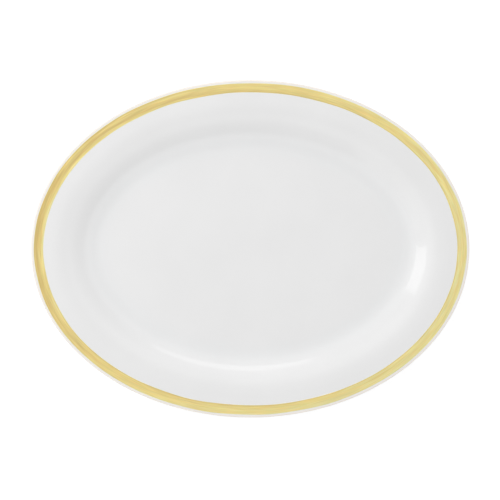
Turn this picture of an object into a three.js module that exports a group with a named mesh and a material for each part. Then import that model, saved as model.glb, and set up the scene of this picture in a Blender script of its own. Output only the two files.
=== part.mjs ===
// An oval china serving platter: a porcelain body on a foot ring, its two glaze skins, and a gold band.
// Millimetres, +Z up. The origin is on the table under the middle of the platter, and X is its length.

import * as THREE from 'three';
import { mergeVertices } from 'three/addons/utils/BufferGeometryUtils.js';

// Plan
const LENGTH = 356;
const WIDTH = 274;

// Section of the body, with every inset measured from the outline along its normal
const WELL_INSET = 55.6; // the flat floor of the well starts here
const COVE_RUN = 15.4; // hollow curve from the well up to the wall
const WALL_LENGTH = 6.8; // straight stretch of the wall, measured up it
const WALL_SLOPE = 31; // degrees
const SHOULDER_RUN = 18; // rounded curve from the wall to the rim
const RIM_SLOPE = 2; // degrees, rising towards the lip
const WELL_THICKNESS = 4.2;
const SHOULDER_THICKNESS = 3.4;
const LIP_THICKNESS = 2.6;
const LIP_ROUND = 0.8; // setback of the rounding on each side of the lip

// Foot ring
const FOOT_HEIGHT = 3.5; // from the table to the body inside and outside the ring
const FOOT_INSET = 60.5;
const FOOT_WIDTH = 7; // at its root
const FOOT_DRAFT = 12; // degrees that each wall leans in
const FOOT_ROOT = 1.2; // setback of the rounding where the ring leaves the body
const FOOT_EDGE = 0.8; // setback of the rounding on each side of the standing face

// Coats
const GLAZE = 0.3;
const GLAZE_STOP = 1.3; // the foot ring is bare below this height
const GOLD = 0.12;
const BAND_INSET = 2.35;
const BAND_WIDTH = 7.7;

// Fineness of the faceted surface
const SEGMENTS = 64; // around the oval
const CHORD_ERROR = 0.1; // largest gap between an arc of the section and its chords
const SMALLEST_STEP = 0.001; // section points closer than this are one point

// A section point is (out, up): out is 0 at the outline and negative inside it.
const CENTRE = -WIDTH / 2; // a section point this far in stands for the middle of the platter

const slope = (degrees) => Math.tan(THREE.MathUtils.degToRad(degrees));
const cosine = (degrees) => Math.cos(THREE.MathUtils.degToRad(degrees));
const point = (out, up) => new THREE.Vector2(out, up);
const corner = (at, setback = 0) => ({ at, setback });

// The section through a list of corners. The arc rounding a corner starts and ends a setback away from it.
function rounded(corners) {
  const points = corners.flatMap(({ at, setback }, i) => {
    if (setback === 0) {
      return [at];
    }
    const back = corners[i - 1].at.clone().sub(at).normalize();
    const ahead = corners[i + 1].at.clone().sub(at).normalize();
    const half = back.angleTo(ahead) / 2;
    const radius = setback * Math.tan(half);
    const centre = back.clone().add(ahead).setLength(setback / Math.cos(half)).add(at);
    const turn = (Math.PI - 2 * half) * Math.sign(ahead.cross(back));
    const steps = Math.ceil(Math.abs(turn) / (2 * Math.acos(1 - CHORD_ERROR / radius)));
    const start = back.multiplyScalar(setback).add(at);
    const onArc = (_, k) => start.clone().rotateAround(centre, (turn * k) / steps);
    return Array.from({ length: steps + 1 }, onArc);
  });
  return points.filter((each, i) => i === 0 || each.distanceTo(points[i - 1]) > SMALLEST_STEP);
}

// The section moved along its own normals, outward where the distance is positive.
function parallel(section, distance) {
  const normals = section.slice(1).map((end, i) => {
    const start = section[i];
    return point(start.y - end.y, end.x - start.x).normalize();
  });
  return section.map((each, i) => {
    const before = normals[Math.max(i - 1, 0)];
    const after = normals[Math.min(i, normals.length - 1)];
    const miter = before.clone().add(after).normalize();
    return miter.multiplyScalar(distance / miter.dot(after)).add(each);
  });
}

// One section point carried round the oval at a constant distance from the outline.
function ring({ x: out, y: up }) {
  return Array.from({ length: SEGMENTS }, (_, j) => {
    if (out === CENTRE) {
      return new THREE.Vector3(0, 0, up);
    }
    const angle = (2 * Math.PI * j) / SEGMENTS;
    const edge = new THREE.Vector3((LENGTH / 2) * Math.cos(angle), (WIDTH / 2) * Math.sin(angle), up);
    const normal = new THREE.Vector3(WIDTH * Math.cos(angle), LENGTH * Math.sin(angle), 0).normalize();
    return edge.addScaledVector(normal, out);
  });
}

// The surface that a section leaves when it is carried round the oval, as a list of triangles.
function sheet(section) {
  const rings = section.map(ring);
  const triangles = [];
  for (let i = 1; i < rings.length; i += 1) {
    const inner = rings[i - 1];
    const outer = rings[i];
    for (let j = 0; j < SEGMENTS; j += 1) {
      const next = (j + 1) % SEGMENTS;
      triangles.push([inner[j], outer[j], outer[next]], [inner[j], outer[next], inner[next]]);
    }
  }
  return triangles.filter(([a, b, c]) => !a.equals(b) && !b.equals(c) && !c.equals(a));
}

const facingBack = (triangles) => triangles.map(([a, b, c]) => [a, c, b]);

// The sheets that bound a coat: its own surface, its two edges, and the surface under it.
function coat(under, over) {
  const edges = [[under.at(0), over.at(0)], [over.at(-1), under.at(-1)]];
  return [...sheet(over), ...edges.flatMap(sheet), ...facingBack(sheet(under))];
}

function piece(name, triangles, material) {
  const geometry = mergeVertices(new THREE.BufferGeometry().setFromPoints(triangles.flat()));
  geometry.computeVertexNormals();
  const mesh = new THREE.Mesh(geometry, material);
  mesh.name = name;
  return mesh;
}

// Upper face of the body, from the middle of the well out to the lip
const EDGE = -GLAZE; // the glaze on the lip reaches the outline
const FLOOR = FOOT_HEIGHT + WELL_THICKNESS;
const COVE_SETBACK = COVE_RUN / (1 + cosine(WALL_SLOPE));
const SHOULDER_SETBACK = SHOULDER_RUN / (cosine(WALL_SLOPE) + cosine(RIM_SLOPE));
const WALL_RUN = (COVE_SETBACK + WALL_LENGTH + SHOULDER_SETBACK) * cosine(WALL_SLOPE);

const wellMiddle = point(CENTRE, FLOOR);
const coveCorner = point(COVE_SETBACK - WELL_INSET, FLOOR);
const shoulderCorner = point(coveCorner.x + WALL_RUN, FLOOR + WALL_RUN * slope(WALL_SLOPE));
const onRim = (out) => point(out, shoulderCorner.y + (out - shoulderCorner.x) * slope(RIM_SLOPE));
const bandStart = onRim(-BAND_INSET - BAND_WIDTH);
const bandEnd = onRim(-BAND_INSET);
const lipTop = onRim(EDGE);

// Underside, from the lip in to the foot ring
const faceCorners = [wellMiddle, coveCorner, shoulderCorner, lipTop];
const lipBottom = point(EDGE, lipTop.y - LIP_THICKNESS);
const underShoulder = parallel(faceCorners, -SHOULDER_THICKNESS)[2];
const underCove = parallel(faceCorners, -WELL_THICKNESS)[1];
const UNDER_COVE_SETBACK = underCove.x + WELL_INSET;
const UNDER_SHOULDER_SETBACK = underShoulder.distanceTo(underCove) - UNDER_COVE_SETBACK;

// Foot ring, between walls that lean in towards its standing face
const onOuterWall = (up) => point(-FOOT_INSET - (FOOT_HEIGHT - up) * slope(FOOT_DRAFT), up);
const onInnerWall = (up) => point(-FOOT_INSET - FOOT_WIDTH + (FOOT_HEIGHT - up) * slope(FOOT_DRAFT), up);
const coatEnd = onOuterWall(GLAZE_STOP);
const recessStart = onInnerWall(GLAZE_STOP);
const recessMiddle = point(CENTRE, FOOT_HEIGHT);

const body = rounded([
  corner(wellMiddle),
  corner(coveCorner, COVE_SETBACK),
  corner(shoulderCorner, SHOULDER_SETBACK),
  corner(bandStart),
  corner(bandEnd),
  corner(lipTop, LIP_ROUND),
  corner(lipBottom, LIP_ROUND),
  corner(underShoulder, UNDER_SHOULDER_SETBACK),
  corner(underCove, UNDER_COVE_SETBACK),
  corner(onOuterWall(FOOT_HEIGHT), FOOT_ROOT),
  corner(coatEnd),
  corner(onOuterWall(0), FOOT_EDGE),
  corner(onInnerWall(0), FOOT_EDGE),
  corner(recessStart),
  corner(onInnerWall(FOOT_HEIGHT), FOOT_ROOT),
  corner(recessMiddle),
]);
const glazed = parallel(body, GLAZE);
const gilded = parallel(glazed, GOLD);

// The coat from one section to the next, between two points of the body's section
function coatBetween(from, to, under, over) {
  const stretch = (section) => section.slice(body.indexOf(from), body.indexOf(to) + 1);
  return coat(stretch(under), stretch(over));
}

const china = new THREE.MeshStandardMaterial({ color: 0xede9e0, roughness: 0.8 });
const glaze = new THREE.MeshStandardMaterial({ color: 0xf4f4f1, roughness: 0.12 });
const gold = new THREE.MeshStandardMaterial({ color: 0xe2d08d, roughness: 0.4, metalness: 1 });

const platter = new THREE.Group();
platter.add(
  piece('china_body', sheet(body), china),
  piece('glaze_coat', coatBetween(wellMiddle, coatEnd, body, glazed), glaze),
  piece('recess_glaze', coatBetween(recessStart, recessMiddle, body, glazed), glaze),
  piece('gold_band', coatBetween(bandStart, bandEnd, glazed, gilded), gold),
);

export default platter;
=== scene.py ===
"""The looks of the oval china platter: glazed porcelain, a bare foot ring and a brushed gold band."""

import cmath
import math

import bpy
import numpy as np
from mathutils import Euler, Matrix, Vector


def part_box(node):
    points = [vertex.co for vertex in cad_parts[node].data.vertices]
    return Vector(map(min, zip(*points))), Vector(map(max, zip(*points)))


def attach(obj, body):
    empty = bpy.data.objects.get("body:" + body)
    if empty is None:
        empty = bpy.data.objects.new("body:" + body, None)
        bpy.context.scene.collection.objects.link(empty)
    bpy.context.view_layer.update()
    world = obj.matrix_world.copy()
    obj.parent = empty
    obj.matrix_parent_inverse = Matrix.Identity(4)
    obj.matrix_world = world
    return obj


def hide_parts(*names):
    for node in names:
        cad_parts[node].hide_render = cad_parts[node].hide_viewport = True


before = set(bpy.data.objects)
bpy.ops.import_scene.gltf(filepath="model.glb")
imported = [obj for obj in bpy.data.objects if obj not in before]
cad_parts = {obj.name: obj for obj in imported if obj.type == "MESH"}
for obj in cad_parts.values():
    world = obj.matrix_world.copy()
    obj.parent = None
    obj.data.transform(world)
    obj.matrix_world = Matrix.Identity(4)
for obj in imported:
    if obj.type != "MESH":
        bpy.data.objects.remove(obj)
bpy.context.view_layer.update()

MM = 0.001
SEED = 14
random = np.random.default_rng(SEED)

# Overall size, from the frame
HALF_LENGTH, HALF_WIDTH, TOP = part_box("glaze_coat")[1]

# Section of the body, every inset measured from the outline along its normal, as in the CAD part
WELL_INSET = 55.6 * MM  # the flat floor of the well starts here
COVE_RUN = 15.4 * MM  # hollow curve from the well up to the wall
WALL_LENGTH = 6.8 * MM  # measured up the wall
SHOULDER_RUN = 18 * MM  # rounded curve from the wall to the rim
WALL_SLOPE = math.radians(31)
RIM_SLOPE = math.radians(2)  # rising towards the lip
WELL_THICKNESS = 4.2 * MM
SHOULDER_THICKNESS = 3.4 * MM
LIP_THICKNESS = 2.6 * MM
LIP_ROUND = 0.8 * MM  # setback of the rounding on each side of the lip
FOOT_HEIGHT = 3.5 * MM  # from the table to the body inside and outside the ring
FOOT_INSET = 60.5 * MM
FOOT_WIDTH = 7 * MM  # at its root
FOOT_DRAFT = math.radians(12)  # how far each wall leans in
FOOT_ROOT = 1.2 * MM  # setback of the rounding where the ring leaves the body
FOOT_EDGE = 0.8 * MM  # setback of the rounding on each side of the standing face
GLAZE = 0.3 * MM
GLAZE_STOP = 1.3 * MM  # the foot ring is bare below this height

# Fineness of the meshes
TURNS = 480  # points round the oval
CHORD_ERROR = 0.004 * MM  # largest gap between an arc of the section and its chords
LONGEST_STEP = 2.4 * MM
SMALLEST_STEP = 0.001 * MM  # section points closer than this are one point
WELL_EDGE = 1.02  # the section starts this many setbacks inside the cove's corner, so just before its arc
CAP_RINGS = 14
THINNING = 3  # where china and glaze touch, only one ring in three is kept

# How far the fired clay strays from its drawing
WALL_CROWN = math.radians(1.2)  # how much steeper the wall is at its foot, and less steep at its head
WARP = 0.035 * MM
WARP_WAVES = 9
WARP_LENGTHS = 38 * MM, 120 * MM  # of the shortest and the longest wave

# The glaze's free edge on the foot ring
EDGE_RINGS = 12
EDGE_ROUND = 0.45 * MM
EDGE_BEAD = 0.3  # as a share of the glaze's thickness
EDGE_BEAD_WIDTH = 0.5  # as a share of EDGE_ROUND
EDGE_WANDER = 0.12 * MM
EDGE_BENDS = 60  # the finest bends that it makes on its way round

# The gold band, laid on by brush while the platter turned
BAND_INSET = 2.35 * MM
BAND_WIDTH = 7.7 * MM
BAND_DRIFT = complex(0.09, -0.07) * MM  # the platter was this far off the middle of the turntable
BAND_TURN = math.radians(0.2)  # and turned this far from the track that the brush followed
BAND_WANDER = 0.1 * MM
BAND_BENDS = 26
GOLD_TURNS = 1200  # points round the oval
GOLD_ROWS = 64  # steps across the band
GOLD = 0.05 * MM
GOLD_BURIED = 0.06 * MM  # how far its underside lies in the glaze
GOLD_EDGE = 0.3 * MM  # how far in from each edge it reaches its full thickness
BRISTLES = 30
BRISTLE_BENDS = 70
BRISTLE_RIDGE = 0.1  # every ridge and stroke is a share of the gold's thickness
STROKES = 8
STROKE_BENDS = 22
STROKE_RIDGE = 0.14
CALM = 0.3  # share of the strokes and of the loaded stripe that is left on the far side from the band's thick, deep-toned side
LOADED = 0.5  # extra gold under the loaded middle of the brush, which swings over the band twice a round
LOADED_WIDTH = 0.2  # as a share of the band's width
LOADED_PLACE = 0.46, 0.25  # its mean place across the band, from the inside, and its swing to each side
DEEP_SIDE = math.radians(158)  # the gold is thickest and deepest in tone round this angle, on the left of the band
DEEP_SIDE_SPAN = 1.5  # radians to each side
SIDE_SWING = 0.24  # the gold is this much thicker and deeper in tone there, and this much thinner and paler on the far side
FEATHERED = 0.5  # gold missing along the inner edge there
FEATHER_WIDTH = 0.35  # this and BEAD_WIDTH are shares of the band's width
BEAD = 0.5  # extra gold along the inner edge, or along the outer edge where the inner one is feathered
BEAD_WIDTH = 0.06
SPREAD = 0.2 * MM  # how far the outer edge lies further out on the band's thick, deep-toned side

# Looks. Every colour is linear.
WHITE_GLAZE = 0.848, 0.847, 0.847
THIN_GLAZE = 0.93, 0.863, 0.784
DEEP_GLAZE = 0.843, 0.846, 0.848
THIN_LIP = 2.6 * MM  # the glaze is thin this far in from the outline
POOL = 0.5  # extra depth where the glaze gathers in the cove, as a share of its full depth
POOL_INSET = 50 * MM
POOL_WIDTH = 9 * MM
NOISE_SPAN = 0.3, 0.7  # what noise mostly stays between
CLOUD = 45 * MM
CLOUD_TONE = 0.985, 1.005
PEEL = 5 * MM
PEEL_DEPTH = 0.006 * MM

BISCUIT = (0.80, 0.765, 0.69), (0.69, 0.65, 0.58)
TOASTED = 0.66, 0.50, 0.34
WORN = 0.52, 0.50, 0.47
TOAST = 0.5 * MM
TOAST_STRENGTH = 0.7
GROUND = 0.15 * MM
GRIT = 0.5 * MM
GRIT_DEPTH = 0.05 * MM
GRIND_MARK = 25 * MM, 0.2 * MM  # every mark and streak has a length and a width
GRIND_SPAN = 0.45, 0.7
GRIND_STRENGTH = 0.5
GRIND_DEPTH = 0.01 * MM
BARE_ROUGHNESS = 0.85, 0.6  # as fired, and where it is ground

PAINT_RANGE = 0.3, 1.7  # the gold's thickness at its thin tone and at its deep one, as a share of GOLD
THIN_GOLD = 0.92, 0.935, 0.63
GOLD_TONE = 0.887, 0.773, 0.381
DEEP_GOLD = 0.747, 0.597, 0.267
STREAK = 26 * MM, 1.1 * MM
STREAK_TONE = 0.94, 1.05
HUE_STREAK = 10 * MM, 0.9 * MM
HUE_SPAN = 0.35, 0.65
HUE_SHIFT = (1.02, 0.99, 0.985), (0.98, 1.005, 0.975)
SCRATCH = 22 * MM, 0.22 * MM
SCRATCH_DEPTH = 0.006 * MM
GOLD_ROUGHNESS = 0.68, 0.78

# The studio
WORLD = (0.4, 0.53), (0.6, 1.15), (0.8, 1.15), (0.94, 0.41)  # each is sine of elevation, brightness
BACKGROUND = 1.06
FLOOR_SIZE = 8
FLOOR_TONE = 0.95  # as the platter sees the floor
SEEN_FLOOR_TONE = 0.32  # as the camera sees it: paler shadows, on a floor that glows to white
FLOOR_GLOW = 0.79
SOFTBOX_DISTANCE = 1
SOFTBOXES = {  # azimuth, angle from overhead, width and height in radians, and radiance
    "left_softbox": (math.radians(163.6), math.radians(51), 0.46, 0.3, 1.98),
    "low_left_softbox": (math.radians(178), math.radians(68), 0.5, 0.3, 1.62),
    "front_left_softbox": (math.radians(220), math.radians(54), 0.7, 0.3, 0.47),
    "back_softbox": (math.radians(84), math.radians(58.6), 0.56, 0.24, 1.85),
    "low_back_softbox": (math.radians(100), math.radians(68), 0.6, 0.3, 1.45),
}
LENS = 85
SENSOR = 36
VIEW_WIDTH = 405.65 * MM  # what the picture spans at the height of the lip
VIEW_PLACE = -0.18 * MM, -0.96 * MM  # the camera stands this far off the platter's middle

# Sections: a point is a complex number, its real part out from the outline and its imaginary part up.

def rounded(corners):
    """The section through (point, setback) corners.

    An arc rounds each corner. It starts and ends a setback away, and a setback of 0 leaves the corner sharp.
    """
    points = []
    for i, (at, setback) in enumerate(corners):
        if setback == 0:
            points.append(at)
            continue
        back, ahead = corners[i - 1][0] - at, corners[i + 1][0] - at
        back, ahead = back / abs(back), ahead / abs(ahead)
        inside = cmath.phase(back / ahead)
        radius = setback * math.tan(abs(inside) / 2)
        centre = at + (back + ahead) / abs(back + ahead) * setback / math.cos(inside / 2)
        turn = math.copysign(math.pi - abs(inside), inside)
        steps = math.ceil(abs(turn) / (2 * math.acos(1 - CHORD_ERROR / radius)))
        spoke = at + back * setback - centre
        points += [centre + spoke * cmath.exp(1j * turn * k / steps) for k in range(steps + 1)]
    kept = points[:1]
    for point in points[1:]:
        steps = math.ceil(abs(point - kept[-1]) / LONGEST_STEP)
        if abs(point - kept[-1]) > SMALLEST_STEP:
            kept += [kept[-1] + (point - kept[-1]) * k / steps for k in range(1, steps)] + [point]
    return np.array(kept)


def outward(section):
    """The direction out of the material at each point of a section."""
    along = np.diff(section)
    along /= abs(along)
    both = np.append(along[:1], along) + np.append(along, along[-1:])
    return 1j * both / abs(both)


def corners_of_face():
    """The upper face's corners: in the cove, halfway up the wall, in the shoulder and at the lip.

    The lip stays a glaze's thickness inside the outline, so that the coat over it reaches the outline.
    """
    steep, gentle = WALL_SLOPE + WALL_CROWN, WALL_SLOPE - WALL_CROWN
    cove_setback = COVE_RUN / (1 + math.cos(steep))
    shoulder_setback = SHOULDER_RUN / (math.cos(gentle) + math.cos(RIM_SLOPE))
    cove = complex(cove_setback - WELL_INSET, FOOT_HEIGHT + WELL_THICKNESS)
    wall = cove + cmath.rect(cove_setback + WALL_LENGTH / 2, steep)
    shoulder = wall + cmath.rect(WALL_LENGTH / 2 + shoulder_setback, gentle)
    lip = shoulder + cmath.rect((-GLAZE - shoulder.real) / math.cos(RIM_SLOPE), RIM_SLOPE)
    return (cove, cove_setback), (wall, WALL_LENGTH / 2), (shoulder, shoulder_setback), (lip, LIP_ROUND)


def foot_wall(root, side):
    """A line down the foot ring's wall from its root: the point on it at each height."""
    return lambda up: root - (FOOT_HEIGHT - up) * (side * math.tan(FOOT_DRAFT) + 1j)


outer_wall = foot_wall(complex(-FOOT_INSET, FOOT_HEIGHT), 1)
inner_wall = foot_wall(complex(-FOOT_INSET - FOOT_WIDTH, FOOT_HEIGHT), -1)


def body_section():
    """The body's section, from the well over the lip and under the foot ring to the recess inside it."""
    cove, wall, shoulder, lip = corners_of_face()
    bend = (WALL_SLOPE - RIM_SLOPE) / 2
    through = SHOULDER_THICKNESS / math.cos(bend)
    under_shoulder = shoulder[0] - cmath.rect(through, math.pi / 2 + RIM_SLOPE + bend)
    under_cove = cove[0] + WELL_THICKNESS * (math.tan(WALL_SLOPE / 2) - 1j)
    under_cove_setback = under_cove.real + WELL_INSET
    under_shoulder_setback = abs(under_shoulder - under_cove) - under_cove_setback
    return rounded([
        (cove[0] - WELL_EDGE * cove[1], 0),
        cove,
        wall,
        shoulder,
        lip,
        (lip[0] - 1j * LIP_THICKNESS, LIP_ROUND),
        (under_shoulder, under_shoulder_setback),
        (under_cove, under_cove_setback),
        (outer_wall(FOOT_HEIGHT), FOOT_ROOT),
        (outer_wall(GLAZE_STOP), 0),
        (outer_wall(0), FOOT_EDGE),
        (inner_wall(0), FOOT_EDGE),
        (inner_wall(GLAZE_STOP), 0),
        (inner_wall(FOOT_HEIGHT), FOOT_ROOT),
        (inner_wall(FOOT_HEIGHT) - 2 * FOOT_ROOT, 0),
    ])


def closed_noise(bends, turns, tracks=1):
    """Smooth random values round the oval that join up with themselves, of standard deviation 1."""
    start = random.uniform(0, 2 * math.pi, (tracks, bends, 1))
    angle = np.arange(turns) * 2 * math.pi / turns
    return np.cos(np.arange(1, bends + 1)[:, None] * angle + start).sum(axis=1) / math.sqrt(bends / 2)


def smooth(value):
    """A value from 0 to 1, eased at both ends."""
    value = np.clip(value, 0, 1)
    return value * value * (3 - 2 * value)


# Rings: a section point carried round the oval is one ring, and rings make solids.

def oval(turns):
    """Angles round the oval, the outline's points there and its normals, in plan, as complex numbers."""
    angle = np.arange(turns) * 2 * math.pi / turns
    outline = HALF_LENGTH * np.cos(angle) + 1j * HALF_WIDTH * np.sin(angle)
    normal = HALF_WIDTH * np.cos(angle) + 1j * HALF_LENGTH * np.sin(angle)
    return angle, outline, normal / abs(normal)


def rings(section, turns=TURNS):
    """Section points carried round the oval. Each row of the section is one point, or one for every turn."""
    section = section.reshape(len(section), -1)
    _, outline, normal = oval(turns)
    plan = outline + normal * section.real
    return np.stack([plan.real, plan.imag, np.broadcast_to(section.imag, plan.shape)], axis=-1)


def cap(ring):
    """The rings that fill a flat oval, from its middle out to the given ring."""
    share = np.arange(1, CAP_RINGS)[:, None, None] / CAP_RINGS
    return np.concatenate([ring * share * (1, 1, 0) + ring * (0, 0, 1), ring[None]])


def warped(points):
    """The points, moved up and down by the slight warp of the firing. The standing face is ground flat."""
    x, y, z = np.moveaxis(points, -1, 0)
    waves = sum(
        np.sin(x * across.real + y * across.imag + start)
        for across, start in zip(WARP_ACROSS, WARP_START)
    )
    lift = waves * WARP / math.sqrt(WARP_WAVES / 2) * smooth(z / FOOT_HEIGHT)
    return np.stack([x, y, z + lift], axis=-1)


WARP_ACROSS = 2 * math.pi / random.uniform(*WARP_LENGTHS, WARP_WAVES)
WARP_ACROSS = WARP_ACROSS * np.exp(1j * random.uniform(0, 2 * math.pi, WARP_WAVES))
WARP_START = random.uniform(0, 2 * math.pi, WARP_WAVES)


def solid(name, layers, closed=False, **fields):
    """A piece through rings of points. It closes on itself, or fans fill its first and last ring.

    Its fields hold a number or a vector at each point, which its material reads.
    """
    count, turns = layers.shape[:2]
    points = layers.reshape(count * turns, 3)
    fields = {field: values.reshape(count * turns, -1) for field, values in fields.items()}
    here = np.arange(count * turns).reshape(count, turns)
    if closed:
        here = np.vstack([here, here[:1]])
    beside = np.roll(here, -1, axis=1)
    faces = np.stack([here[:-1], here[1:], beside[1:], beside[:-1]], axis=-1).reshape(-1, 4).tolist()
    if not closed:
        middles = count * turns, count * turns + 1
        faces += [(middles[0], a, b) for a, b in zip(here[0].tolist(), beside[0].tolist())]
        faces += [(middles[1], b, a) for a, b in zip(here[-1].tolist(), beside[-1].tolist())]
        points, fields = with_middles(points, turns), {k: with_middles(v, turns) for k, v in fields.items()}
    mesh = bpy.data.meshes.new(name)
    mesh.from_pydata(warped(points), [], faces)
    for field, values in fields.items():
        kind, key = ("FLOAT_VECTOR", "vector") if values.shape[1] == 3 else ("FLOAT", "value")
        mesh.attributes.new(field, kind, "POINT").data.foreach_set(key, values.astype(np.float32).ravel())
    mesh.shade_smooth()
    piece = bpy.data.objects.new(name, mesh)
    bpy.context.scene.collection.objects.link(piece)
    return piece


def with_middles(values, turns):
    """Values at the points of rings, and then at the middle of the first ring and of the last."""
    return np.vstack([values, values[:turns].mean(axis=0), values[-turns:].mean(axis=0)])


def lanes(layers):
    """Coordinates for marks that run round the oval: a circle about as long, and the way across."""
    angle, _, _ = oval(layers.shape[1])
    circle = math.hypot(HALF_LENGTH, HALF_WIDTH) / math.sqrt(2) * np.exp(1j * angle)
    across = np.append(0, np.cumsum(np.linalg.norm(np.diff(layers[:, 0], axis=0), axis=1)))
    circle, across = np.broadcast_arrays(circle, across[:, None])
    return np.stack([circle.real, circle.imag, across], axis=-1)


# The platter's pieces

body = body_section()
out_of_body = outward(body)
outer_stop, inner_stop = (np.argmin(abs(body - wall(GLAZE_STOP))) for wall in (outer_wall, inner_wall))
face = np.arange(outer_stop)  # from the well over the lip to the foot ring
recess = np.arange(len(body) - 1, inner_stop, -1)  # from inside the foot ring to its wall


def platter_body():
    """The fired clay. Only the foot ring shows, below the glaze."""
    foot = body[face[-1]:recess[-1] + 1]
    layers = rings(np.concatenate([body[face[:-1:THINNING]], foot, body[recess[:-1:THINNING]][::-1]]))
    layers = np.concatenate([cap(layers[0]), layers[1:-1], cap(layers[-1])[::-1]])
    return solid("china_platter_body", layers, lane=lanes(layers))


def glaze(name, stretch, wall, stop):
    """A glaze coat over a stretch of the body, from its middle to a rounded bead on the foot ring's wall.

    The stretch and stop are places in the body's section, and stop is where the coat ends.
    """
    under = body[stretch]
    over = under + GLAZE * out_of_body[stretch]
    edge = GLAZE_STOP + EDGE_WANDER * closed_noise(EDGE_BENDS, TURNS)
    share = 1 - np.sin(np.linspace(0, math.pi / 2, EDGE_RINGS + 1)[1:, None])
    above = (under[-1].imag - edge) * share
    along = above / math.cos(FOOT_DRAFT) / EDGE_ROUND
    swelling = EDGE_BEAD * np.exp(-((along - 1) / EDGE_BEAD_WIDTH) ** 2)
    bead = np.sqrt(1 - (1 - along.clip(0, 1)) ** 2) * (1 + swelling)
    free_edge = wall(edge + above) + GLAZE * bead * out_of_body[stop]
    top, bottom = rings(over), rings(under[:-1:THINNING])
    layers = np.concatenate([cap(top[0]), top[1:], rings(free_edge), bottom[:0:-1], cap(bottom[0])[::-1]])
    if stretch[0] > stretch[-1]:
        layers = layers[::-1]  # inside the foot ring the coat faces down
    inset = abs(HALF_LENGTH - layers[:, :1, 0]) * np.ones(TURNS)
    pooled = POOL * np.exp(-((inset - POOL_INSET) / POOL_WIDTH) ** 2)
    return solid(name, layers, depth=smooth(inset / THIN_LIP) + pooled)


def on_glaze(out):
    """The height of the glazed rim at a distance out from the outline."""
    over = body[face] + GLAZE * out_of_body[face]
    rising = over[:np.argmax(over.real)]
    return np.interp(out, rising.real, rising.imag)


def tracks(across, count, bends):
    """Smooth random values over the band, which run on along it for as long as its bends let them."""
    noise = closed_noise(bends, GOLD_TURNS, count)
    place = across[:, 0] * (count - 1)
    lower = np.minimum(place.astype(int), count - 2)
    share = smooth(place - lower)[:, None]
    return noise[lower] * (1 - share) + noise[lower + 1] * share


def gold_band():
    """The gold, with the ridges of the brush, a thicker stripe where it was loaded, and gold that is thicker
    and deeper in tone on the left, thinner and paler on the far side.
    """
    angle, _, normal = oval(GOLD_TURNS)
    across = np.linspace(0, 1, GOLD_ROWS + 1)[:, None]
    # The band is thicker and deeper in tone on its left side, with its darker edge line on the outside there
    # and on the inside elsewhere. It is thinner and paler on the far side.
    deep_side = smooth(1 - abs(np.angle(np.exp(1j * (angle - DEEP_SIDE)))) / DEEP_SIDE_SPAN)
    drift = (BAND_DRIFT * normal.conj()).real + (HALF_LENGTH - HALF_WIDTH) * BAND_TURN * np.sin(2 * angle)
    inner, outer = BAND_WANDER * closed_noise(BAND_BENDS, GOLD_TURNS, 2) + drift - BAND_INSET
    outer = outer + SPREAD * deep_side
    out = inner - BAND_WIDTH + (outer - inner + BAND_WIDTH) * across
    stroke_weight = CALM + (1 - CALM) * deep_side
    middle = LOADED_PLACE[0] + LOADED_PLACE[1] * np.cos(2 * angle)
    loaded = LOADED * stroke_weight * np.exp(-((across - middle) / LOADED_WIDTH) ** 2)
    feathered = FEATHERED * deep_side * smooth(1 - across / FEATHER_WIDTH)
    inner_bead, outer_bead = (np.exp(-((place / BEAD_WIDTH - 1) ** 2)) for place in (across, 1 - across))
    bead = BEAD * ((1 - deep_side) * inner_bead + deep_side * outer_bead)
    bristles = BRISTLE_RIDGE * tracks(across, BRISTLES, BRISTLE_BENDS)
    strokes = STROKE_RIDGE * stroke_weight * tracks(across, STROKES, STROKE_BENDS)
    paint = 1 + SIDE_SWING * np.cos(angle - DEEP_SIDE) + bristles + strokes + loaded - feathered + bead
    rise = smooth(np.minimum(across, 1 - across) * BAND_WIDTH / GOLD_EDGE)
    up = cmath.rect(1, math.pi / 2 + RIM_SLOPE)
    surface = out + 1j * on_glaze(out)
    top = rings(surface + up * GOLD * paint * rise, GOLD_TURNS)
    bottom = rings(surface[[-1, 0]] - up * GOLD_BURIED, GOLD_TURNS)
    layers = np.concatenate([top, bottom])
    paint = np.concatenate([paint * rise, np.zeros((2, GOLD_TURNS))])
    return solid("gold_band_brushed", layers, closed=True, paint=paint, lane=lanes(layers))


# Materials

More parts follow.
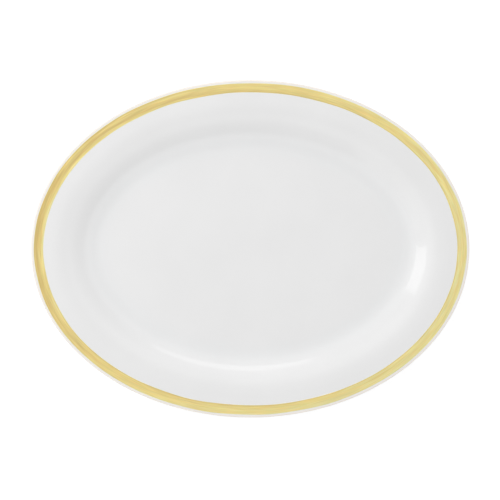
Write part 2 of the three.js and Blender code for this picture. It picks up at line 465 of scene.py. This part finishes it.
class Nodes:
    """Short ways to add nodes to a node tree and link them."""

    def __init__(self, tree):
        self.tree = tree

    def put(self, node, values):
        """Sets a node's inputs, by name or number, to numbers, colours or other nodes' outputs."""
        for key, value in values.items():
            socket = node.inputs[key.replace("_", " ") if isinstance(key, str) else key]
            if isinstance(value, bpy.types.NodeSocket):
                self.tree.links.new(value, socket)
            else:
                socket.default_value = value

    def add(self, kind, values, **settings):
        node = self.tree.nodes.new("ShaderNode" + kind)
        for key, value in settings.items():
            setattr(node, key, value)
        self.put(node, values)
        return node

    def noise(self, where, scale, detail=2):
        return self.add("TexNoise", {"Vector": where, "Scale": scale, "Detail": detail}).outputs["Fac"]

    def stretched(self, where, along, across):
        """Noise coordinates for marks that are this long and this wide."""
        scale = 1 / along, 1 / along, 1 / across
        return self.add("VectorMath", {0: where, 1: scale}, operation="MULTIPLY").outputs[0]

    def ranged(self, value, low, high, bottom, top):
        """Value, brought from between low and high to between bottom and top."""
        return self.add("MapRange", {0: value, 1: low, 2: high, 3: bottom, 4: top}).outputs[0]

    def ramp(self, value, stops):
        """A colour for a value from 0 to 1, out of (position, colour) stops."""
        node = self.add("ValToRGB", {"Fac": value})
        elements = node.color_ramp.elements
        while len(elements) < len(stops):
            elements.new(1)
        for element, (position, colour) in zip(elements, stops):
            element.position, element.color = position, (*colour, 1)
        return node.outputs["Color"]

    def mix(self, share, first, second, blend="MIX"):
        """Two colours, mixed. A plain colour is three numbers."""
        first, second = (c if isinstance(c, bpy.types.NodeSocket) else (*c, 1) for c in (first, second))
        values = {0: share, 6: first, 7: second}
        return self.add("Mix", values, data_type="RGBA", blend_type=blend).outputs[2]

    def bump(self, height, distance, onto=None):
        """A normal for bumps of up to this distance, on top of another normal if one is given."""
        node = self.add("Bump", {"Height": height, "Distance": distance})
        if onto:
            self.put(node, {"Normal": onto})
        return node.outputs["Normal"]

    def attribute(self, name, output):
        return self.add("Attribute", {}, attribute_name=name).outputs[output]

    def place(self):
        return self.add("TexCoord", {}).outputs["Object"]


class Shader(Nodes):
    """A material with one Principled surface."""

    def __init__(self, name, **settings):
        self.material = bpy.data.materials.new(name)
        self.material.use_nodes = True
        super().__init__(self.material.node_tree)
        self.surface = self.tree.nodes["Principled BSDF"]
        self.put(self.surface, settings)


def glaze_material():
    """Clear glaze over white china: warm where it is thin, cool where it pools, and faintly uneven."""
    shader = Shader("glossy_white_glaze", Roughness=0.3, Coat_Weight=0.7, Coat_Roughness=0.04)
    place = shader.place()
    depth = shader.ranged(shader.attribute("depth", "Fac"), 0, 1 + POOL, 0, 1)
    tint = shader.ramp(depth, [(0, THIN_GLAZE), (1 / (1 + POOL), WHITE_GLAZE), (1, DEEP_GLAZE)])
    cloud = shader.ranged(shader.noise(place, 1 / CLOUD), *NOISE_SPAN, *CLOUD_TONE)
    colour = shader.mix(1, tint, cloud, "MULTIPLY")
    peel = shader.bump(shader.noise(place, 1 / PEEL, 1), PEEL_DEPTH)
    shader.put(shader.surface, {"Base_Color": colour, "Normal": peel, "Coat_Normal": peel})
    return shader.material


def china_material():
    """Bare fired china: a fine grit, toasted where the glaze ends, and ground smooth where it stands."""
    shader = Shader("bare_china")
    place = shader.place()
    height = shader.add("SeparateXYZ", {0: place}).outputs["Z"]
    toasted = shader.ranged(height, GLAZE_STOP - TOAST, GLAZE_STOP, 0, TOAST_STRENGTH)
    ground = shader.ranged(height, 0, GROUND, 1, 0)
    grit = shader.noise(place, 1 / GRIT, 3)
    marks = shader.noise(shader.stretched(shader.attribute("lane", "Vector"), *GRIND_MARK), 1)
    colour = shader.mix(toasted, shader.mix(grit, *BISCUIT), TOASTED)
    scored = shader.ranged(marks, *GRIND_SPAN, 0, GRIND_STRENGTH)
    colour = shader.mix(scored, colour, shader.mix(ground, colour, WORN))
    rough = shader.ranged(ground, 0, 1, *BARE_ROUGHNESS)
    bumps = shader.bump(marks, GRIND_DEPTH, shader.bump(grit, GRIT_DEPTH))
    shader.put(shader.surface, {"Base_Color": colour, "Roughness": rough, "Normal": bumps})
    return shader.material


def gold_material():
    """Fired gold, satin and brushed: deeper where it lies thick, with fine streaks that follow the brush."""
    shader = Shader("brushed_gold", Metallic=1)
    lane = shader.attribute("lane", "Vector")
    paint = shader.ranged(shader.attribute("paint", "Fac"), *PAINT_RANGE, 0, 1)
    tone = shader.ramp(paint, [(0, THIN_GOLD), (0.5, GOLD_TONE), (1, DEEP_GOLD)])
    streaks = shader.noise(shader.stretched(lane, *STREAK), 1)
    hues = shader.noise(shader.stretched(lane, *HUE_STREAK), 1)
    scratches = shader.noise(shader.stretched(lane, *SCRATCH), 1, 1)
    colour = shader.mix(shader.ranged(hues, *HUE_SPAN, 0, 1), *HUE_SHIFT)
    colour = shader.mix(1, tone, colour, "MULTIPLY")
    colour = shader.mix(1, colour, shader.ranged(streaks, *NOISE_SPAN, *STREAK_TONE), "MULTIPLY")
    rough = shader.ranged(streaks, *NOISE_SPAN, *GOLD_ROUGHNESS)
    shader.put(shader.surface, {
        "Base_Color": colour,
        "Roughness": rough,
        "Normal": shader.bump(scratches, SCRATCH_DEPTH),
    })
    return shader.material


def floor_material():
    shader = Shader("pale_floor", Roughness=0.9, Specular_IOR_Level=0, Emission_Color=(1, 1, 1, 1))
    seen = shader.add("LightPath", {}).outputs["Is Camera Ray"]
    tone = shader.ranged(seen, 0, 1, FLOOR_TONE, SEEN_FLOOR_TONE)
    glow = shader.ranged(seen, 0, 1, 0, FLOOR_GLOW)
    shader.put(shader.surface, {"Base_Color": tone, "Emission_Strength": glow})
    return shader.material


# The studio

def floor():
    half = FLOOR_SIZE / 2
    mesh = bpy.data.meshes.new("floor")
    corners = [(-half, -half, 0), (half, -half, 0), (half, half, 0), (-half, half, 0)]
    mesh.from_pydata(corners, [], [(0, 1, 2, 3)])
    mesh.materials.append(floor_material())
    plane = bpy.data.objects.new("floor", mesh)
    bpy.context.scene.collection.objects.link(plane)


def surroundings():
    """White light from all round, dimmer overhead, and brighter where the camera looks straight at it."""
    world = bpy.data.worlds.new("studio")
    world.use_nodes = True
    nodes = Nodes(world.node_tree)
    way = nodes.add("TexCoord", {}).outputs["Generated"]
    sine = nodes.add("SeparateXYZ", {0: way}).outputs["Z"]
    light = nodes.ramp(sine, [(place, (level,) * 3) for place, level in WORLD])
    seen = nodes.add("LightPath", {}).outputs["Is Camera Ray"]
    nodes.put(nodes.tree.nodes["Background"], {"Color": nodes.mix(seen, light, (BACKGROUND,) * 3)})
    bpy.context.scene.world = world


def softbox(name, azimuth, zenith, width, height, radiance):
    """A rectangular lamp that faces the platter from a direction, spanning these angles."""
    lamp = bpy.data.lights.new(name, "AREA")
    lamp.shape = "RECTANGLE"
    lamp.size, lamp.size_y = (2 * SOFTBOX_DISTANCE * math.tan(span / 2) for span in (width, height))
    lamp.energy = radiance * math.pi * lamp.size * lamp.size_y
    box = bpy.data.objects.new(name, lamp)
    box.rotation_euler = Euler((zenith, 0, azimuth + math.pi / 2))
    box.location = box.rotation_euler.to_matrix() @ Vector((0, 0, SOFTBOX_DISTANCE))
    box.visible_camera = False
    bpy.context.scene.collection.objects.link(box)


def camera():
    """Straight above, as far off as its lens needs to span the picture at the height of the lip."""
    data = bpy.data.cameras.new("camera")
    data.lens, data.sensor_width = LENS, SENSOR
    eye = bpy.data.objects.new("camera", data)
    eye.location = *VIEW_PLACE, TOP + VIEW_WIDTH * LENS / SENSOR
    bpy.context.scene.collection.objects.link(eye)
    bpy.context.scene.camera = eye


camera()
floor()
surroundings()
for name, direction in SOFTBOXES.items():
    softbox(name, *direction)
bpy.context.scene.view_settings.view_transform = "Standard"

glazed, gilded, bare = glaze_material(), gold_material(), china_material()
for piece, node, slot, material in (
    (platter_body(), "china_body", "china", bare),
    (glaze("face_and_back_glaze", face, outer_wall, outer_stop), "glaze_coat", "glaze", glazed),
    (glaze("foot_recess_glaze", recess, inner_wall, inner_stop), "recess_glaze", "glaze", glazed),
    (gold_band(), "gold_band", "gold", gilded),
):
    piece.data.materials.append(material)
    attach(piece, "root")
    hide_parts(node)
